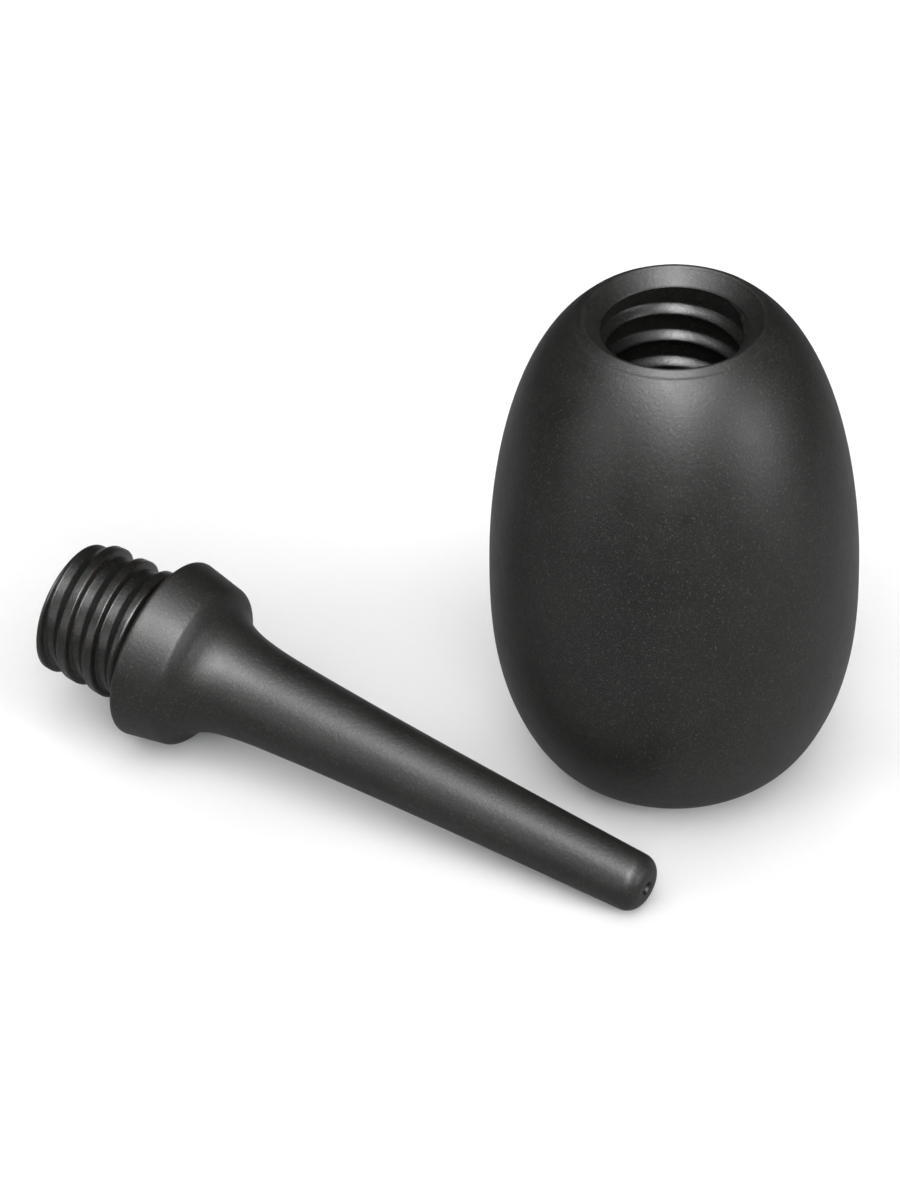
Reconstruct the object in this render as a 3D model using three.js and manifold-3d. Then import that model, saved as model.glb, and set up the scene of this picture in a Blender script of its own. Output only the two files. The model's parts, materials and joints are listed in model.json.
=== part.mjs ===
// A hand-squeezed dust blower of black rubber, unscrewed into its two pieces.
// Millimetres, +Z up. The origin is the centre of the flat base that the bulb stands on.
// The bulb is upright with its threaded mouth on top. The nozzle lies beside it on the same
// surface, along +X from its threaded spigot to its tip, resting on its collar and its tip.
// One side of the bulb's wall is a patch of its own, because that wall gives way to the thumb.

import * as THREE from 'three';
import { mergeVertices } from 'three/addons/utils/BufferGeometryUtils.js';
import Module from 'manifold-3d';

const wasm = await Module();
wasm.setup();

const FACETS = 40; // round every axis of revolution
const RUBBER = { color: 0x33332f, roughness: 0.62, metalness: 0 };

// The bulb's egg shape: two halves that meet at the equator, each tapering as
// radius * (1 - (height from the equator / reach) ^ fullness) ^ taper.
const BULB_RADIUS = 28;
const BULB_HEIGHT = 81.3;
const EQUATOR_HEIGHT = 36;
const UPPER_HALF = { reach: 48.3, fullness: 1.94, taper: 0.33 };
const LOWER_HALF = { reach: 44.3, fullness: 2.67, taper: 0.625 };
const BULB_WALL = 2.7;
const BASE_RADIUS = 9;
const BASE_CORNER_RADIUS = 17.9; // where the base would meet the side without its rounding
const BASE_CURVE_TOP = 8; // where the egg shape gives way to that rounding
const CAVITY_FLOOR_RADIUS = 7; // the air chamber's floor is rounded in the same way
const CAVITY_CORNER_RADIUS = 14.5;
const CAVITY_CURVE_TOP = 6;

// The mouth: a raised lip, a conical lead-in, then the internal thread.
const LIP_RADIUS = 13.65;
const LIP_WIDTH = 0.9;
const LIP_DROP = 0.35;
const LIP_FOOT_HEIGHT = BULB_HEIGHT - 1.2;
const CONE_DEPTH = 2.3;
const NECK_DEPTH = 18.6; // from the lip to the underside of the thick neck
const NECK_ROUNDING = 2.5;

// The thread that both pieces share: one start, right-handed, coarse and rounded. Each ridge
// has a soft flank and a steep one, and the two steep flanks bear on each other, so that the
// nozzle can't be pulled out. Flanks are given in pitches from the ridge's middle, from where
// they rise to where they fall, and runOuts at the deep end and at the outer end.
const THREAD_PITCH = 4.8;
const THREAD_DEPTH = 1.1;
const THREAD_CLEARANCE = 0.3;
const THREAD_ROW = 0.5; // axial spacing of the rings that carry the thread
const SPIGOT_THREAD = {
  crest: 6, // a ridge's distance from the spigot's end, on the underside
  steepSide: 1, // towards the collar
  softFlank: [-0.3, 0],
  steepFlank: [0.28, 0.39],
  runOuts: [1.2, 1.6],
};
const MOUTH_THREAD = {
  crest: 74, // a ridge's height where the mouth's thread faces +X
  steepSide: -1, // towards the air chamber
  softFlank: [-0.1, 0.2],
  steepFlank: [0.22, 0.33],
  runOuts: [1.6, 0.6],
};

// The nozzle, by distance from the spigot's end.
const SPIGOT_CORE_RADIUS = 9.9;
const SPIGOT_LENGTH = 17;
const SPIGOT_EDGE_ROUNDING = 0.6;
const SPIGOT_RELIEF = 0.9; // plain groove between the thread and the collar
const SPIGOT_BORE_RADIUS = 7.4;
const COLLAR_RADIUS = 14.5;
const COLLAR_EDGE_ROUNDING = 0.8;
const SHOULDER_START = new THREE.Vector2(13.3, 24.1);
const FLARE_START = new THREE.Vector2(11.2, 26.2);
const SPOUT_START = new THREE.Vector2(7.4, 38);
const NOZZLE_LENGTH = 105.7;
const TIP_RADIUS = 4.6;
const TIP_ROUNDING = 2.6;
const TIP_HOLE_RADIUS = 1;
const SPOUT_BORE_RADIUS = 4.6;
const TIP_HOLE_LENGTH = 8;

// Where the nozzle lies: the plan position of its spigot's end.
const NOZZLE_END_X = -87.8;
const NOZZLE_END_Y = -35.4;

// The wall patch that the thumb presses in, round and centred on the equator at +X.
const PATCH_RADIUS = 16;
const PATCH_GAP = 0.3;
const PATCH_CUT_FROM = 12;
const PATCH_CUT_TO = 40;

function point(radius, height) {
  return new THREE.Vector2(radius, height);
}

// Points of a quarter-round between two outline points, bulging towards the corner point.
function rounded(start, corner, end, steps = 3) {
  return new THREE.QuadraticBezierCurve(start, corner, end).getPoints(steps);
}

function bulbOutlineRadius(height, inset = 0) {
  const half = height < EQUATOR_HEIGHT ? LOWER_HALF : UPPER_HALF;
  const share = Math.abs(height - EQUATOR_HEIGHT) / (half.reach - inset);
  return (BULB_RADIUS - inset) * (1 - share ** half.fullness) ** half.taper;
}

// Evenly spaced points along the egg shape, or along the cavity inside it.
function bulbCurve(from, to, steps, inset = 0) {
  const points = [];
  for (let step = 0; step <= steps; step += 1) {
    const height = THREE.MathUtils.lerp(from, to, step / steps);
    points.push(point(bulbOutlineRadius(height, inset), height));
  }
  return points;
}

// Straight stretch of an outline, cut into the rows that a thread needs.
function threadRows(radius, from, to) {
  const steps = Math.round(Math.abs(to - from) / THREAD_ROW);
  const points = [];
  for (let step = 0; step <= steps; step += 1) {
    points.push(point(radius, THREE.MathUtils.lerp(from, to, step / steps)));
  }
  return points;
}

// Height of the thread's ridge, from 0 in the groove to 1 on the crest.
function ridge(axial, angle, { crest, steepSide, softFlank, steepFlank }) {
  const turns = (axial - crest) / THREAD_PITCH - angle / (2 * Math.PI);
  const side = steepSide * (turns - Math.round(turns));
  const rise = THREE.MathUtils.smoothstep(side, ...softFlank);
  return rise * (1 - THREE.MathUtils.smoothstep(side, ...steepFlank));
}

// Moves the plain rows of a lathed solid in or out so that they carry the helical ridge.
function cutThread(geometry, { radius, from, to, depth, thread }) {
  const position = geometry.getAttribute('position');
  const vertex = new THREE.Vector3();
  for (let index = 0; index < position.count; index += 1) {
    vertex.fromBufferAttribute(position, index);
    const reach = Math.hypot(vertex.x, vertex.y);
    const onThread = vertex.z >= from && vertex.z <= to && Math.abs(reach - radius) < 0.01;
    if (!onThread) continue;
    const [low, high] = thread.runOuts;
    const runOut = THREE.MathUtils.smoothstep(vertex.z - from, 0, low)
      * THREE.MathUtils.smoothstep(to - vertex.z, 0, high);
    const angle = Math.atan2(vertex.y, vertex.x);
    const moved = reach + depth * runOut * ridge(vertex.z, angle, thread);
    position.setXY(index, vertex.x * moved / reach, vertex.y * moved / reach);
  }
}

// Keeps only positions, joins the shared ones and drops the triangles that close up on the axis.
function welded(geometry) {
  geometry.deleteAttribute('normal');
  geometry.deleteAttribute('uv');
  const merged = mergeVertices(geometry);
  const corners = merged.getIndex().array;
  const kept = [];
  for (let start = 0; start < corners.length; start += 3) {
    const [a, b, c] = corners.slice(start, start + 3);
    if (a !== b && b !== c && c !== a) kept.push(a, b, c);
  }
  merged.setIndex(kept);
  return merged;
}

// Revolves an outline of (radius, height) points about +Z.
function lathed(outline) {
  return welded(new THREE.LatheGeometry(outline, FACETS).rotateX(Math.PI / 2));
}

function toSolid(geometry) {
  return new wasm.Manifold(new wasm.Mesh({
    numProp: 3,
    vertProperties: Float32Array.from(geometry.getAttribute('position').array),
    triVerts: Uint32Array.from(geometry.getIndex().array),
  }));
}

function toGeometry(solid) {
  const mesh = solid.getMesh();
  const geometry = new THREE.BufferGeometry();
  geometry.setAttribute('position', new THREE.BufferAttribute(mesh.vertProperties, 3));
  geometry.setIndex(new THREE.BufferAttribute(mesh.triVerts, 1));
  return geometry;
}

function rubberMesh(name, geometry) {
  const mesh = new THREE.Mesh(geometry, new THREE.MeshStandardMaterial(RUBBER));
  mesh.name = name;
  return mesh;
}

// The whole hollow bulb before its wall patch is parted from it.
function bulbShell() {
  const crestRadius = SPIGOT_CORE_RADIUS + THREAD_CLEARANCE;
  const grooveRadius = crestRadius + THREAD_DEPTH;
  const coneBottom = BULB_HEIGHT - CONE_DEPTH;
  const neckBottom = BULB_HEIGHT - NECK_DEPTH;
  const lipOuter = LIP_RADIUS + LIP_WIDTH;
  const lipInner = LIP_RADIUS - LIP_WIDTH / 2;
  const cavityTop = neckBottom - 1;
  const cavityTopRadius = bulbOutlineRadius(cavityTop, BULB_WALL);
  const outline = [
    point(0, 0),
    ...rounded(
      point(BASE_RADIUS, 0),
      point(BASE_CORNER_RADIUS, 0),
      point(bulbOutlineRadius(BASE_CURVE_TOP), BASE_CURVE_TOP),
      6,
    ),
    ...bulbCurve(BASE_CURVE_TOP, LIP_FOOT_HEIGHT, 20).slice(1),
    point(lipOuter, BULB_HEIGHT - LIP_DROP),
    point(LIP_RADIUS, BULB_HEIGHT),
    point(lipInner, BULB_HEIGHT - LIP_DROP),
    ...threadRows(grooveRadius, coneBottom, neckBottom),
    ...rounded(
      point(grooveRadius + NECK_ROUNDING, neckBottom),
      point(cavityTopRadius - NECK_ROUNDING / 2, neckBottom),
      point(cavityTopRadius, cavityTop),
    ),
    ...bulbCurve(cavityTop, CAVITY_CURVE_TOP, 15, BULB_WALL).slice(1),
    ...rounded(
      point(bulbOutlineRadius(CAVITY_CURVE_TOP, BULB_WALL), CAVITY_CURVE_TOP),
      point(CAVITY_CORNER_RADIUS, BULB_WALL),
      point(CAVITY_FLOOR_RADIUS, BULB_WALL),
    ).slice(1),
    point(0, BULB_WALL),
  ];
  const shell = lathed(outline);
  cutThread(shell, {
    radius: grooveRadius,
    from: neckBottom,
    to: coneBottom,
    depth: -THREAD_DEPTH,
    thread: MOUTH_THREAD,
  });
  return toSolid(shell);
}

// A plug along +X through the side of the bulb, as wide as the patch or as the hole round it.
function patchPlug(radius) {
  const length = PATCH_CUT_TO - PATCH_CUT_FROM;
  const plug = new THREE.CylinderGeometry(radius, radius, length, FACETS);
  plug.rotateZ(-Math.PI / 2);
  plug.translate(PATCH_CUT_FROM + length / 2, 0, EQUATOR_HEIGHT);
  return toSolid(welded(plug));
}

function bulbBody(shell) {
  const hole = patchPlug(PATCH_RADIUS + PATCH_GAP);
  return rubberMesh('bulb_body', toGeometry(shell.subtract(hole)));
}

function bulbSqueezeWall(shell) {
  return rubberMesh('bulb_squeeze_wall', toGeometry(shell.intersect(patchPlug(PATCH_RADIUS))));
}

function nozzle() {
  const collarEdge = point(COLLAR_RADIUS - COLLAR_EDGE_ROUNDING, SPIGOT_LENGTH);
  const tipStart = point(TIP_RADIUS, NOZZLE_LENGTH - TIP_ROUNDING);
  const tipFace = point(TIP_RADIUS - TIP_ROUNDING, NOZZLE_LENGTH);
  const shoulder = new THREE.CubicBezierCurve(
    SHOULDER_START, point(13.15, 25), point(12.4, 25.5), FLARE_START,
  );
  const flare = new THREE.CubicBezierCurve(
    FLARE_START, point(9, 27.6), point(8, 31), SPOUT_START,
  );
  const spout = new THREE.QuadraticBezierCurve(SPOUT_START, point(6, 56), tipStart);
  const outline = [
    point(SPIGOT_BORE_RADIUS, 0),
    ...rounded(
      point(SPIGOT_CORE_RADIUS - SPIGOT_EDGE_ROUNDING, 0),
      point(SPIGOT_CORE_RADIUS, 0),
      point(SPIGOT_CORE_RADIUS, SPIGOT_EDGE_ROUNDING),
    ),
    ...threadRows(SPIGOT_CORE_RADIUS, SPIGOT_EDGE_ROUNDING, SPIGOT_LENGTH).slice(1),
    ...rounded(
      collarEdge,
      point(COLLAR_RADIUS, SPIGOT_LENGTH),
      point(COLLAR_RADIUS, SPIGOT_LENGTH + COLLAR_EDGE_ROUNDING),
    ),
    ...shoulder.getPoints(3),
    ...flare.getPoints(6).slice(1),
    ...spout.getPoints(6).slice(1),
    ...new THREE.EllipseCurve(
      tipFace.x, tipStart.y, TIP_ROUNDING, TIP_ROUNDING, 0, Math.PI / 2,
    ).getPoints(4).slice(1),
    point(TIP_HOLE_RADIUS, NOZZLE_LENGTH),
    point(TIP_HOLE_RADIUS, NOZZLE_LENGTH - TIP_HOLE_LENGTH),
    point(SPOUT_BORE_RADIUS, SPOUT_START.y),
    point(SPIGOT_BORE_RADIUS, SPIGOT_LENGTH + 4),
    point(SPIGOT_BORE_RADIUS, 0),
  ];
  const geometry = lathed(outline);
  cutThread(geometry, {
    radius: SPIGOT_CORE_RADIUS,
    from: SPIGOT_EDGE_ROUNDING,
    to: SPIGOT_LENGTH - SPIGOT_RELIEF,
    depth: THREAD_DEPTH,
    thread: SPIGOT_THREAD,
  });
  return rubberMesh('nozzle', geometry);
}

// Lays the nozzle down so that its collar's edge and its tip both touch the surface.
// Each of them is a circle of the outline, and the surface is the tangent under both circles.
function layDown(mesh) {
  const stationGap = NOZZLE_LENGTH - TIP_ROUNDING - SPIGOT_LENGTH - COLLAR_EDGE_ROUNDING;
  const radiusGap = COLLAR_RADIUS - COLLAR_EDGE_ROUNDING - TIP_RADIUS + TIP_ROUNDING;
  const roundingGap = COLLAR_EDGE_ROUNDING - TIP_ROUNDING;
  const centreGap = Math.hypot(stationGap, radiusGap);
  const tilt = Math.atan2(radiusGap, stationGap) + Math.asin(roundingGap / centreGap);
  const collarStation = SPIGOT_LENGTH + COLLAR_EDGE_ROUNDING;
  const endHeight = collarStation * Math.sin(tilt)
    + (COLLAR_RADIUS - COLLAR_EDGE_ROUNDING) * Math.cos(tilt) + COLLAR_EDGE_ROUNDING;
  mesh.rotation.y = Math.PI / 2 + tilt;
  mesh.position.set(NOZZLE_END_X, NOZZLE_END_Y, endHeight);
  return mesh;
}

const shell = bulbShell();
const blower = new THREE.Group();
blower.add(bulbBody(shell), bulbSqueezeWall(shell), layDown(nozzle()));

export default blower;
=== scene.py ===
import json
import math

import bpy
import numpy as np
from mathutils import Matrix, Vector


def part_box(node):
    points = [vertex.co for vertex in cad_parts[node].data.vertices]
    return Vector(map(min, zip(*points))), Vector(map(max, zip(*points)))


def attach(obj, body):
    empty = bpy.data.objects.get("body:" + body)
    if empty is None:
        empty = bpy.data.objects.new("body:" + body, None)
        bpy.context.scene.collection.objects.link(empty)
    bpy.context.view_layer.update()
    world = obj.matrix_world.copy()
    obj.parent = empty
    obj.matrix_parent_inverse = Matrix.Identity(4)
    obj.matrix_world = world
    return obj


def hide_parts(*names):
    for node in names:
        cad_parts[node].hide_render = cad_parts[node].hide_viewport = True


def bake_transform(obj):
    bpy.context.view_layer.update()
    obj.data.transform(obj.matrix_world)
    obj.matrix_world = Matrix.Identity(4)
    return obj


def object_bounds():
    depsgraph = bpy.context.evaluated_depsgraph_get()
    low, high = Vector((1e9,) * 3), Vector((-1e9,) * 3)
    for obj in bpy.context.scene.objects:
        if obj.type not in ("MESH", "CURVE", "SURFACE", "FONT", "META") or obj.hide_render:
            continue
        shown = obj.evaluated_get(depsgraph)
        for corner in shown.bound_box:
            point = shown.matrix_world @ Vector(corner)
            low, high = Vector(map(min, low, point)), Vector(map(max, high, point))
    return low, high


# The looks of a rubber dust blower that lies unscrewed beside its bulb. Outlines are in
# millimetres, as (radius, distance along the piece's own axis); objects are in metres.

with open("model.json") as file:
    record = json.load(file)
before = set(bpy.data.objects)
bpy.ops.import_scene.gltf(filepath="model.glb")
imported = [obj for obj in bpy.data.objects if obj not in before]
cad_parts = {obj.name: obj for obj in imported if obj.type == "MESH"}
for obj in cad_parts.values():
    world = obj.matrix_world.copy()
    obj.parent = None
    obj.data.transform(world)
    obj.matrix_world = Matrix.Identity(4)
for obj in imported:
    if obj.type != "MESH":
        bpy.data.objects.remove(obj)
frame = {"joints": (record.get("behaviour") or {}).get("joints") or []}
CAD_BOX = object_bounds()

MM = 0.001

# Bulb, from its flat base up.
BULB_LOW, BULB_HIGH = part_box("bulb_body")
BULB_HEIGHT = BULB_HIGH.z / MM
BULB_RADIUS = -BULB_LOW.x / MM
BULB_SEGMENTS = 192
EQUATOR_HEIGHT = 36
UPPER_HALF = {"reach": 48.3, "fullness": 1.94, "taper": 0.33}
LOWER_HALF = {"reach": 44.3, "fullness": 2.67, "taper": 0.625}
BULB_WALL = 2.7
BASE_RADIUS = 9
BASE_CORNER_RADIUS = 17.9
BASE_CURVE_TOP = 8
CAVITY_FLOOR_RADIUS = 7
CAVITY_CORNER_RADIUS = 14.5
CAVITY_CURVE_TOP = 6
LIP_FOOT = (15.1, -0.95)
LIP_OUTER = (14.75, -0.8)
LIP_TOP = (13.75, 0)
LIP_INNER = (13.15, -0.3)
CONE_DEPTH = 2.3
CONE_EDGE_RADIUS = 11.05
CONE_EDGE_BEVEL = 0.1
THREAD_START_DEPTH = CONE_DEPTH + 0.25
FINE_ROWS_DEPTH = 6  # above this depth the egg shape has closer rows
SIDE_TOP_DEPTH = 1.3
NECK_DEPTH = 18.6
NECK_ROUNDING = 2.5

# The buttress thread of the mouth and of the spigot. Flanks are in pitches from the ridge's
# middle, crowned is how far the crest rounds off, and run_outs are at the row's two ends.
THREAD_PITCH = 4.8
THREAD_DEPTH = 1.1
THREAD_CLEARANCE = 0.3
THREAD_ROW = 0.15
SPIGOT_THREAD = {
    "crest": 6, "steep_side": 1, "soft_flank": (-0.30, 0.0), "steep_flank": (0.29, 0.37),
    "crowned": 0.14, "run_outs": (1.1, 1.5),
}
MOUTH_THREAD = {
    "crest": 74, "steep_side": -1, "soft_flank": (-0.10, 0.20), "steep_flank": (0.24, 0.30),
    "crowned": 0.0, "run_outs": (0.6, 1.6),
}

# Nozzle, from its spigot's end to its tip.
NOZZLE_SEGMENTS = 160
SPIGOT_CORE_RADIUS = 9.9
SPIGOT_LENGTH = 17
SPIGOT_EDGE_ROUNDING = 0.6
SPIGOT_RELIEF = 0.9
SPIGOT_BORE_RADIUS = 7.4
COLLAR_RADIUS = 14.5
COLLAR_EDGE_ROUNDING = 0.8
SHOULDER = ((13.3, 24.1), (13.15, 25), (12.4, 25.5), (11.2, 26.2))
FLARE = ((11.2, 26.2), (9, 27.6), (8, 31), (7.4, 38))
SPOUT = ((7.4, 38), (6, 56), (4.6, 103.1))
NOZZLE_LENGTH = 105.7
TIP_ROUNDING = 2.6
TIP_HOLE_RADIUS = 1
TIP_HOLE_BEVEL = 0.2
TIP_HOLE_LENGTH = 8
SPOUT_BORE_RADIUS = 4.6


def smoothstep(value, low, high):
    share = np.clip((value - low) / (high - low), 0, 1)
    return share * share * (3 - 2 * share)


# ---- outlines: lists of (radius, axial, thread depth, wear and painted edge highlight) rows ----

def plain(points, wear_and_highlight=0.0):
    return [(radius, axial, 0.0, wear_and_highlight) for radius, axial in points]


def bezier(controls, steps):
    """Points of a quadratic or cubic Bezier curve, without its first point."""
    degree = len(controls) - 1
    points = []
    for step in range(1, steps + 1):
        t = step / steps
        weights = [math.comb(degree, k) * t**k * (1 - t) ** (degree - k) for k in range(degree + 1)]
        points.append(tuple(
            sum(w * control[axis] for w, control in zip(weights, controls)) for axis in (0, 1)
        ))
    return points


def straight(start, end, steps):
    """Points of a straight stretch, without its first point."""
    return [
        tuple(start[axis] + (end[axis] - start[axis]) * step / steps for axis in (0, 1))
        for step in range(1, steps + 1)
    ]


def bulb_radius_at(height, inset=0.0):
    half = LOWER_HALF if height < EQUATOR_HEIGHT else UPPER_HALF
    share = abs(height - EQUATOR_HEIGHT) / (half["reach"] - inset)
    return (BULB_RADIUS - inset) * (1 - share ** half["fullness"]) ** half["taper"]


def bulb_curve(start, end, steps, inset=0.0):
    """Egg-shape points between two heights, evenly spaced, the first one left out."""
    heights = [start + (end - start) * step / steps for step in range(1, steps + 1)]
    return [(bulb_radius_at(height, inset), height) for height in heights]


def threaded(points, thread, start, end, depth):
    """Rows that carry the thread, which fades in from start and out towards end."""
    first, last = thread["run_outs"]
    rows = []
    for radius, axial in points:
        fade = smoothstep(abs(axial - start), 0, first) * smoothstep(abs(end - axial), 0, last)
        rows.append((radius, axial, depth * float(fade), 0.0))
    return rows


def bulb_outline():
    top = BULB_HEIGHT
    groove_radius = SPIGOT_CORE_RADIUS + THREAD_CLEARANCE + THREAD_DEPTH
    cone_bottom = top - CONE_DEPTH
    neck_bottom = top - NECK_DEPTH
    cavity_top = neck_bottom - 1
    cavity_top_radius = bulb_radius_at(cavity_top, BULB_WALL)
    foot, outer, crown, inner = [
        (radius, top + drop) for radius, drop in (LIP_FOOT, LIP_OUTER, LIP_TOP, LIP_INNER)
    ]
    base_end = (bulb_radius_at(BASE_CURVE_TOP), BASE_CURVE_TOP)
    rows = plain(straight((0, 0), (BASE_RADIUS, 0), 6))
    rows += plain(bezier([(BASE_RADIUS, 0), (BASE_CORNER_RADIUS, 0), base_end], 16))
    rows += plain(bulb_curve(BASE_CURVE_TOP, top - FINE_ROWS_DEPTH, 66))
    rows += plain(bulb_curve(top - FINE_ROWS_DEPTH, top - SIDE_TOP_DEPTH, 14))
    rows += plain([foot])
    rows += plain(straight(foot, outer, 2))
    # Painted edge highlight, partly wear: the last numbers on the lip, the cone's edge and the
    # thread's start tint those rows lighter.
    rows += plain(straight(outer, crown, 5), 0.15)
    rows += plain(bezier([crown, (inner[0] + 0.15, top), inner], 4), 0.5)
    rows += plain(straight(inner, (CONE_EDGE_RADIUS, cone_bottom), 8))
    rows += plain([(CONE_EDGE_RADIUS - 0.02, cone_bottom - CONE_EDGE_BEVEL)], 0.9)
    start, end = (groove_radius, top - THREAD_START_DEPTH), (groove_radius, neck_bottom)
    rows += plain([start], 0.2)
    points = straight(start, end, round((start[1] - end[1]) / THREAD_ROW))
    rows += threaded(points, MOUTH_THREAD, start[1], end[1], -THREAD_DEPTH)
    rows += plain([(groove_radius + NECK_ROUNDING, neck_bottom)])
    rows += plain(bezier([
        (groove_radius + NECK_ROUNDING, neck_bottom),
        (cavity_top_radius - NECK_ROUNDING / 2, neck_bottom),
        (cavity_top_radius, cavity_top),
    ], 5))
    rows += plain(bulb_curve(cavity_top, CAVITY_CURVE_TOP, 34, BULB_WALL))
    rows += plain(bezier([
        (bulb_radius_at(CAVITY_CURVE_TOP, BULB_WALL), CAVITY_CURVE_TOP),
        (CAVITY_CORNER_RADIUS, BULB_WALL),
        (CAVITY_FLOOR_RADIUS, BULB_WALL),
    ], 8))
    rows += plain(straight((CAVITY_FLOOR_RADIUS, BULB_WALL), (1, BULB_WALL), 3))
    return rows


def nozzle_outline():
    core = SPIGOT_CORE_RADIUS
    edge = SPIGOT_EDGE_ROUNDING
    collar_back = (COLLAR_RADIUS - COLLAR_EDGE_ROUNDING, SPIGOT_LENGTH)
    collar_side = (COLLAR_RADIUS, SPIGOT_LENGTH + COLLAR_EDGE_ROUNDING)
    tip_start = SPOUT[-1][1]
    face_radius = SPOUT[-1][0] - TIP_ROUNDING
    quarter = [math.radians(90 * step / 10) for step in range(1, 11)]
    rows = plain(straight((SPIGOT_BORE_RADIUS, 0), (core - edge, 0), 4))
    points = bezier([(core - edge, 0), (core, 0), (core, edge)], 6)
    thread_end = SPIGOT_LENGTH - SPIGOT_RELIEF
    steps = round((thread_end - edge) / THREAD_ROW)
    points += straight((core, edge), (core, thread_end), steps)
    rows += threaded(points, SPIGOT_THREAD, 0, thread_end, THREAD_DEPTH)
    rows += plain(straight((core, thread_end), (core, SPIGOT_LENGTH), 4))
    rows += plain(straight((core, SPIGOT_LENGTH), collar_back, 6))
    # Painted edge highlight, partly wear: the last numbers on the collar's edge and the tip hole's
    # edge tint those rows lighter.
    rows += plain(bezier([collar_back, (COLLAR_RADIUS, SPIGOT_LENGTH), collar_side], 6), 0.5)
    rows += plain(straight(collar_side, SHOULDER[0], 12))
    rows += plain(bezier(SHOULDER, 14))
    rows += plain(bezier(FLARE, 20))
    rows += plain(bezier(SPOUT, 40))
    rows += plain([
        (face_radius + TIP_ROUNDING * math.cos(angle), tip_start + TIP_ROUNDING * math.sin(angle))
        for angle in quarter
    ])
    hole_edge = (TIP_HOLE_RADIUS + TIP_HOLE_BEVEL, NOZZLE_LENGTH)
    rows += plain(straight((face_radius, NOZZLE_LENGTH), hole_edge, 3))
    rows += plain([(TIP_HOLE_RADIUS, NOZZLE_LENGTH - TIP_HOLE_BEVEL)], 0.6)
    bore = [
        (TIP_HOLE_RADIUS, NOZZLE_LENGTH - TIP_HOLE_BEVEL),
        (TIP_HOLE_RADIUS, NOZZLE_LENGTH - TIP_HOLE_LENGTH),
        (SPOUT_BORE_RADIUS, SPOUT[0][1]),
        (SPIGOT_BORE_RADIUS, SPIGOT_LENGTH + 4),
        (SPIGOT_BORE_RADIUS, 0),
    ]
    for start, end in zip(bore, bore[1:]):
        rows += plain(straight(start, end, 6))
    return rows


# ---- meshes ----

# Width of the painted highlight, partly wear, along each ridge's steep edge.
EDGE_WEAR_AND_HIGHLIGHT_WIDTH = 0.05  # in pitches


def ridge(axial, angle, thread):
    """For every row and angle: the ridge's height, 0 in the groove and 1 on the crest, and
    the distance in pitches past the crest's steep edge."""
    turns = (axial - thread["crest"]) / THREAD_PITCH - angle / (2 * math.pi)
    side = thread["steep_side"] * (turns - np.round(turns))
    foot, top = thread["soft_flank"]
    edge, root = thread["steep_flank"]
    share = np.clip((side - foot) / (top - foot), 0, 1)
    rise = 0.5 * share + 0.5 * smoothstep(share, 0, 1)
    crown = 1 - thread["crowned"] * np.clip((edge - side) / (edge - foot), 0, 1)
    return rise * crown * (1 - smoothstep(side, edge, root)), side - edge


def revolved(name, rows, segments, closed, thread, place):
    """A lathed mesh whose threaded rows carry the helical ridge. A closed outline joins its
    last row to its first; an open one starts and ends in a point on the axis."""
    table = np.array(rows)
    angles = np.arange(segments) * 2 * math.pi / segments
    radius, axial, depth, wear_and_highlight = (column[:, None] for column in table.T)
    height, past_edge = ridge(axial, angles[None, :], thread)
    reach = radius + depth * height
    local = np.stack([
        reach * np.cos(angles), reach * np.sin(angles), np.broadcast_to(axial, reach.shape),
    ], axis=-1).reshape(-1, 3) * MM
    # Painted edge highlight, partly wear: the rows' own marks plus a line along each ridge's steep
    # edge, which the rubber shows as a lighter tint.
    steep = np.exp(-((past_edge / EDGE_WEAR_AND_HIGHLIGHT_WIDTH) ** 2))
    wear_and_highlight_mark = np.clip(wear_and_highlight + steep * np.abs(depth) / THREAD_DEPTH, 0, 1).reshape(-1)
    polish = np.broadcast_to(np.abs(depth) / THREAD_DEPTH, reach.shape).reshape(-1)
    count = len(rows)
    last = count if closed else count - 1
    faces = []
    for row in range(last):
        start, above = row * segments, ((row + 1) % count) * segments
        for step in range(segments):
            after = (step + 1) % segments
            faces.append((start + step, start + after, above + after, above + step))
    if not closed:
        bottom, top = len(local), len(local) + 1
        ends = [(0, 0, table[0, 1] * MM), (0, 0, table[-1, 1] * MM)]
        local = np.vstack([local, ends])
        wear_and_highlight_mark = np.append(wear_and_highlight_mark, [0, 0])
        polish = np.append(polish, [0, 0])
        inner = (count - 1) * segments
        for step in range(segments):
            after = (step + 1) % segments
            faces.append((bottom, after, step))
            faces.append((top, inner + step, inner + after))
    mesh = bpy.data.meshes.new(name)
    mesh.from_pydata([place @ Vector(point) for point in local], [], faces)
    mesh.shade_smooth()
    rest = mesh.attributes.new("rest", "FLOAT_VECTOR", "POINT")
    rest.data.foreach_set("vector", local.astype(np.float32).reshape(-1))
    for label, values in (("wear_and_highlight", wear_and_highlight_mark), ("polish", polish)):
        attribute = mesh.attributes.new(label, "FLOAT", "POINT")
        attribute.data.foreach_set("value", values.astype(np.float32))
    mesh.validate()
    mesh.update()
    piece = bpy.data.objects.new(name, mesh)
    bpy.context.scene.collection.objects.link(piece)
    return piece


def nozzle_placement():
    """From the nozzle's own frame, +Z from spigot to tip, to where it lies in the row."""
    joint = next(j for j in frame["joints"] if j["name"] == "nozzle_turn")
    along = -Vector(joint["axis"]).normalized()
    across = Vector((0, 1, 0))
    under = across.cross(along)
    turn = Matrix((under, across, along)).transposed().to_4x4()
    return Matrix.Translation(Vector(joint["pos_m"])) @ turn


# ---- materials ----

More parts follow.
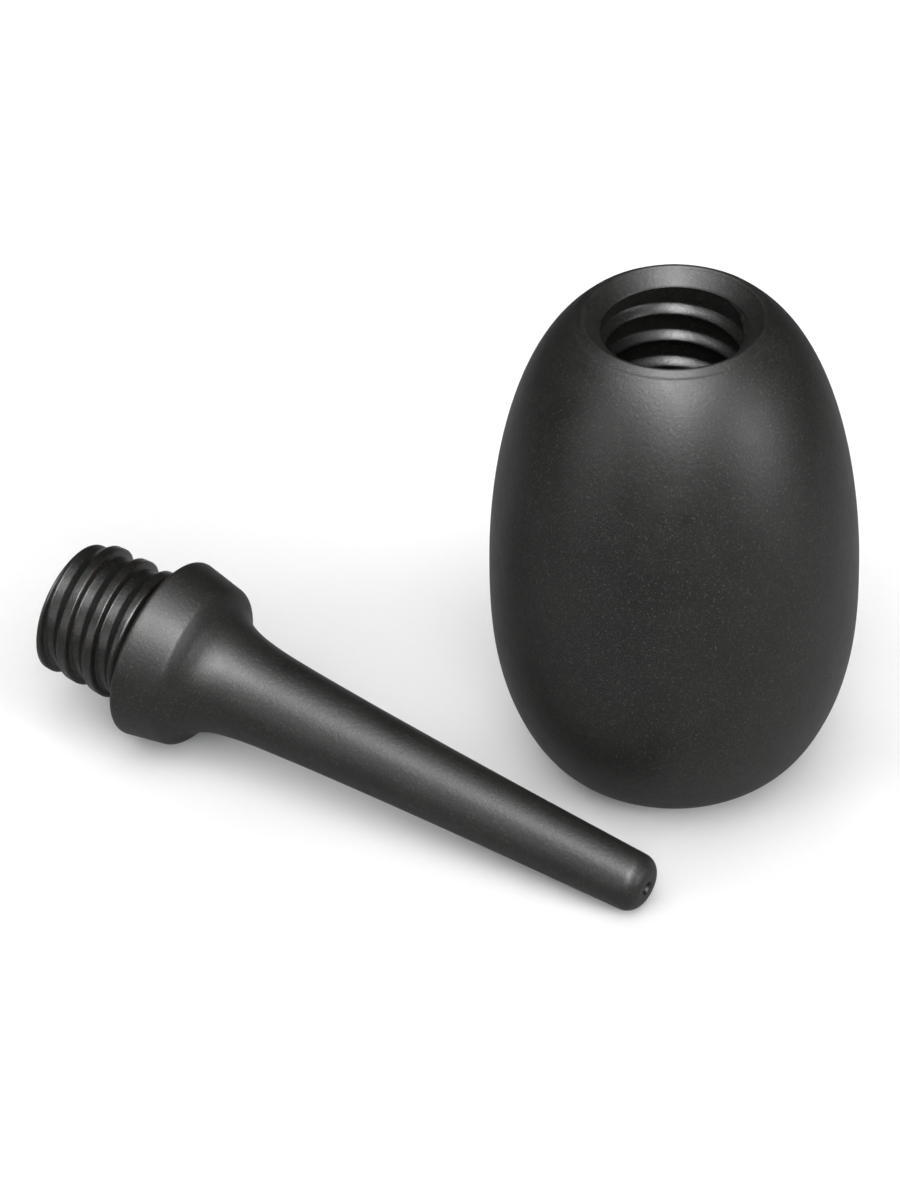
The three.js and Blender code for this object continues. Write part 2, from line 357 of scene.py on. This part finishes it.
class Tree:
    """Short calls for building one material's nodes."""

    def __init__(self, name):
        self.material = bpy.data.materials.new(name)
        self.material.use_nodes = True
        self.nodes = self.material.node_tree.nodes
        self.links = self.material.node_tree.links
        self.shader = self.nodes["Principled BSDF"]

    def add(self, kind, inputs=(), **settings):
        node = self.nodes.new(kind)
        for key, value in settings.items():
            setattr(node, key, value)
        for key, value in dict(inputs).items():
            self.put(node.inputs[key], value)
        return node

    def put(self, socket, value):
        if isinstance(value, bpy.types.NodeSocket):
            self.links.new(value, socket)
        else:
            socket.default_value = value

    def attribute(self, name, output):
        return self.add("ShaderNodeAttribute", attribute_name=name).outputs[output]

    def noise(self, where, scale, detail=2.0, roughness=0.5):
        inputs = {"Vector": where, "Scale": scale, "Detail": detail, "Roughness": roughness}
        return self.add("ShaderNodeTexNoise", inputs).outputs["Fac"]

    def ramp(self, value, low, high, to_low=0.0, to_high=1.0):
        inputs = {
            "Value": value, "From Min": low, "From Max": high,
            "To Min": to_low, "To Max": to_high,
        }
        return self.add("ShaderNodeMapRange", inputs).outputs["Result"]

    def math(self, operation, first, second):
        return self.add("ShaderNodeMath", {0: first, 1: second}, operation=operation).outputs[0]

    def mix(self, factor, first, second, blend="MIX"):
        inputs = {"Factor": factor, "A": first, "B": second}
        node = self.nodes.new("ShaderNodeMix")
        node.data_type = "RGBA"
        node.blend_type = blend
        sockets = {s.name: s for s in node.inputs if s.type == "RGBA"}
        sockets["Factor"] = node.inputs[0]
        for key, value in inputs.items():
            self.put(sockets[key], value)
        return next(s for s in node.outputs if s.type == "RGBA")


# Sizes of the rubber's features, in noise cells to the metre.
BLOTCH_SCALE = 70
CLOUD_SCALE = 420
PIT_SCALE = 1500
GRAIN_SCALE = 3200
RUBBER_ROUGHNESS = 0.45
DUST_COLOR = (0.085, 0.082, 0.076, 1)
# Lighter brown for the marked edges: painted edge highlight, partly rubbed wear.
WORN_AND_HIGHLIGHT_COLOR = (0.030, 0.023, 0.019, 1)


def rubber(name, dark, light):
    """Moulded black rubber between two near-blacks: fine grain, faint blotches, dust specks,
    a lighter brownish tint on edges and steep thread flanks, partly rubbed wear and partly painted
    edge highlights, and a little more shine on them and on the thread."""
    tree = Tree(name)
    where = tree.attribute("rest", "Vector")
    wear_and_highlight = tree.attribute("wear_and_highlight", "Fac")
    polish = tree.attribute("polish", "Fac")
    blotch = tree.noise(where, BLOTCH_SCALE, 4, 0.6)
    cloud = tree.noise(where, CLOUD_SCALE, 3, 0.55)
    grain = tree.noise(where, GRAIN_SCALE, 3, 0.65)
    pits = tree.noise(where, PIT_SCALE, 2, 0.5)
    tint = tree.mix(tree.ramp(blotch, 0.3, 0.7), (*dark, 1), (*light, 1))
    tint = tree.mix(tree.ramp(grain, 0.56, 0.74, 0, 0.5), tint, DUST_COLOR)
    # Painted edge highlight, partly rubbed wear: the marked edges take the lighter brown, broken up
    # by cloud noise.
    wear_and_highlight_share = tree.ramp(tree.math("MULTIPLY", wear_and_highlight, tree.ramp(cloud, 0.35, 0.65, 0.4, 1)), 0.2, 1)
    tint = tree.mix(tree.math("MULTIPLY", wear_and_highlight_share, 0.7), tint, WORN_AND_HIGHLIGHT_COLOR)
    tree.put(tree.shader.inputs["Base Color"], tint)
    matte = tree.ramp(blotch, 0.3, 0.7, RUBBER_ROUGHNESS - 0.03, RUBBER_ROUGHNESS + 0.04)
    matte = tree.math("ADD", matte, tree.ramp(cloud, 0.3, 0.7, -0.02, 0.02))
    shine = tree.math("ADD", tree.math("MULTIPLY", polish, 0.12), tree.math("MULTIPLY", wear_and_highlight, 0.05))
    tree.put(tree.shader.inputs["Roughness"], tree.math("SUBTRACT", matte, shine))
    tree.shader.inputs["IOR"].default_value = 1.5
    tree.shader.inputs["Specular IOR Level"].default_value = 0.3
    relief = tree.math("ADD", grain, tree.math("MULTIPLY", pits, 1.2))
    bump = tree.add("ShaderNodeBump", {"Height": relief, "Strength": 0.5, "Distance": 0.00005})
    tree.put(tree.shader.inputs["Normal"], bump.outputs["Normal"])
    return tree.material


def floor_paper():
    """Plain white studio paper with a faint tooth. Gloss sees it as a greyer paper that darkens
    with distance, because it is lit past white and would show too brightly in the rubber."""
    tree = Tree("floor_paper")
    where = tree.add("ShaderNodeTexCoord").outputs["Object"]
    tooth = tree.noise(where, 900, 2, 0.5)
    tint = tree.mix(tooth, (0.86, 0.86, 0.86, 1), (0.88, 0.88, 0.88, 1))
    tree.put(tree.shader.inputs["Base Color"], tint)
    tree.shader.inputs["Roughness"].default_value = 0.9
    tree.shader.inputs["Specular IOR Level"].default_value = 0.1
    # Painted reflection: in the rubber's gloss the paper shows grey near the objects and fades to
    # near black further off, standing in for paper lit only around them.
    far = tree.add("ShaderNodeVectorMath", {0: where}, operation="LENGTH").outputs["Value"]
    fade = tree.ramp(far, *FLOOR_FADE_IN_GLOSS, 0, 1)
    grey = tree.mix(fade, NEAR_FLOOR_IN_GLOSS, FAR_FLOOR_IN_GLOSS)
    dim = tree.add("ShaderNodeBsdfDiffuse", {"Color": grey})
    seen = tree.add("ShaderNodeLightPath").outputs["Is Glossy Ray"]
    both = tree.add("ShaderNodeMixShader", {0: seen, 1: tree.shader.outputs[0], 2: dim.outputs[0]})
    output = next(n for n in tree.nodes if n.type == "OUTPUT_MATERIAL")
    tree.links.new(both.outputs[0], output.inputs["Surface"])
    return tree.material


# ---- pieces ----

def make_bulb():
    bulb = revolved(
        "rubber_bulb", bulb_outline(), BULB_SEGMENTS, False, MOUTH_THREAD, Matrix.Identity(4),
    )
    bulb.data.materials.append(rubber(
        "bulb_rubber_look", (0.0062, 0.0061, 0.0057), (0.0092, 0.0090, 0.0084),
    ))
    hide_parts("bulb_body", "bulb_squeeze_wall")
    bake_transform(bulb)


def make_nozzle():
    nozzle = revolved(
        "rubber_nozzle", nozzle_outline(), NOZZLE_SEGMENTS, True, SPIGOT_THREAD,
        nozzle_placement(),
    )
    nozzle.data.materials.append(rubber(
        "nozzle_rubber_look", (0.0064, 0.0063, 0.0059), (0.0096, 0.0094, 0.0088),
    ))
    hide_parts("nozzle")
    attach(nozzle, "nozzle")


# ---- stage ----

FLOOR_SIZE = 6.0
FLOOR_GAP = 0.00005
NEAR_FLOOR_IN_GLOSS = (0.44, 0.44, 0.44, 1)
FAR_FLOOR_IN_GLOSS = (0.02, 0.02, 0.02, 1)
FLOOR_FADE_IN_GLOSS = (0.1, 0.35)  # distances from the origin, in metres
LENS = 289.55
SENSOR_WIDTH = 36
CAMERA_DISTANCE = 1.1
CAMERA_AZIMUTH = math.radians(33.908)
CAMERA_ELEVATION = math.radians(36.813)
CAMERA_ROLL = math.radians(-1.2465)
AIM_FROM_CENTRE = Vector((0.00217, -0.00804, -0.01076))

WORLD_STRENGTH = 0.02

# Softboxes: name, azimuth from the camera, elevation, strength, and what sees them.
SOFTBOX_SPREAD = 30
SOFTBOXES = [
    ("overhead", 0, 90, 0.4, "all"),
    ("front_high", 0, 62, 0.6, "all"),
    ("left_high", -60, 62, 0.45, "all"),
    ("right_high", 60, 62, 0.3, "all"),
    ("front", 0, 36, 1.1, "all"),
    ("front_left", -45, 36, 0.3, "all"),
    ("front_right", 45, 36, 0.45, "all"),
    ("left_low", -60, 12, 0.8, "all"),
    ("right_low", 60, 12, 2.3, "all"),
    ("back_left", 225, 36, 0.5, "paper"),
    ("back", 180, 36, 0.5, "paper"),
    ("back_right", 135, 36, 0.3, "paper"),
    ("overhead_gloss", 0, 90, 1.1, "gloss"),
    ("front_high_gloss", 0, 62, 7.0, "gloss"),
    ("left_high_gloss", -60, 62, 1.8, "gloss"),
    ("front_gloss", 0, 36, 1.6, "gloss"),
]


def facing(position, target, roll=0.0):
    """World matrix of a camera or light at position that looks at target."""
    forward = (target - position).normalized()
    level = forward.cross(Vector((0, 0, 1)))
    right = level.normalized() if level.length > 1e-6 else Vector((1, 0, 0))
    up = right.cross(forward)
    turned_right = right * math.cos(roll) + up * math.sin(roll)
    turned_up = up * math.cos(roll) - right * math.sin(roll)
    turn = Matrix((turned_right, turned_up, -forward)).transposed().to_4x4()
    return Matrix.Translation(position) @ turn


def make_camera(centre):
    camera = bpy.data.objects.new("camera", bpy.data.cameras.new("camera"))
    camera.data.lens = LENS
    camera.data.sensor_width = SENSOR_WIDTH
    camera.data.sensor_fit = "HORIZONTAL"
    camera.data.clip_start = 0.01
    target = centre + AIM_FROM_CENTRE
    backward = Vector((
        math.sin(CAMERA_AZIMUTH) * math.cos(CAMERA_ELEVATION),
        -math.cos(CAMERA_AZIMUTH) * math.cos(CAMERA_ELEVATION),
        math.sin(CAMERA_ELEVATION),
    ))
    camera.matrix_world = facing(target + backward * CAMERA_DISTANCE, target, CAMERA_ROLL)
    bpy.context.scene.collection.objects.link(camera)
    bpy.context.scene.camera = camera


def make_softbox(name, azimuth, elevation, strength, seen_by):
    """A distant softbox, seen as a disc SOFTBOX_SPREAD across. Azimuth is from the camera's."""
    light = bpy.data.lights.new(name, "SUN")
    light.angle = math.radians(SOFTBOX_SPREAD)
    light.energy = strength
    azimuth, elevation = CAMERA_AZIMUTH + math.radians(azimuth), math.radians(elevation)
    way = Vector((
        math.sin(azimuth) * math.cos(elevation),
        -math.cos(azimuth) * math.cos(elevation),
        math.sin(elevation),
    ))
    lamp = bpy.data.objects.new(name, light)
    lamp.matrix_world = facing(way, Vector((0, 0, 0)))
    lamp.visible_diffuse = seen_by != "gloss"
    lamp.visible_glossy = seen_by != "paper"
    bpy.context.scene.collection.objects.link(lamp)


def make_stage():
    low, high = (Vector(corner) for corner in CAD_BOX)
    centre = (low + high) / 2
    make_camera(centre)
    half = FLOOR_SIZE / 2
    ground = low.z - FLOOR_GAP
    mesh = bpy.data.meshes.new("floor")
    corners = [(-half, -half), (half, -half), (half, half), (-half, half)]
    mesh.from_pydata([(x, y, ground) for x, y in corners], [], [(0, 1, 2, 3)])
    floor = bpy.data.objects.new("floor", mesh)
    mesh.materials.append(floor_paper())
    bpy.context.scene.collection.objects.link(floor)
    for name, *settings in SOFTBOXES:
        make_softbox(name, *settings)
    world = bpy.data.worlds.new("studio")
    world.use_nodes = True
    world.node_tree.nodes["Background"].inputs["Color"].default_value = (1, 1, 1, 1)
    world.node_tree.nodes["Background"].inputs["Strength"].default_value = WORLD_STRENGTH
    bpy.context.scene.world = world
    bpy.context.scene.view_settings.view_transform = "Standard"


make_stage()
make_bulb()
make_nozzle()
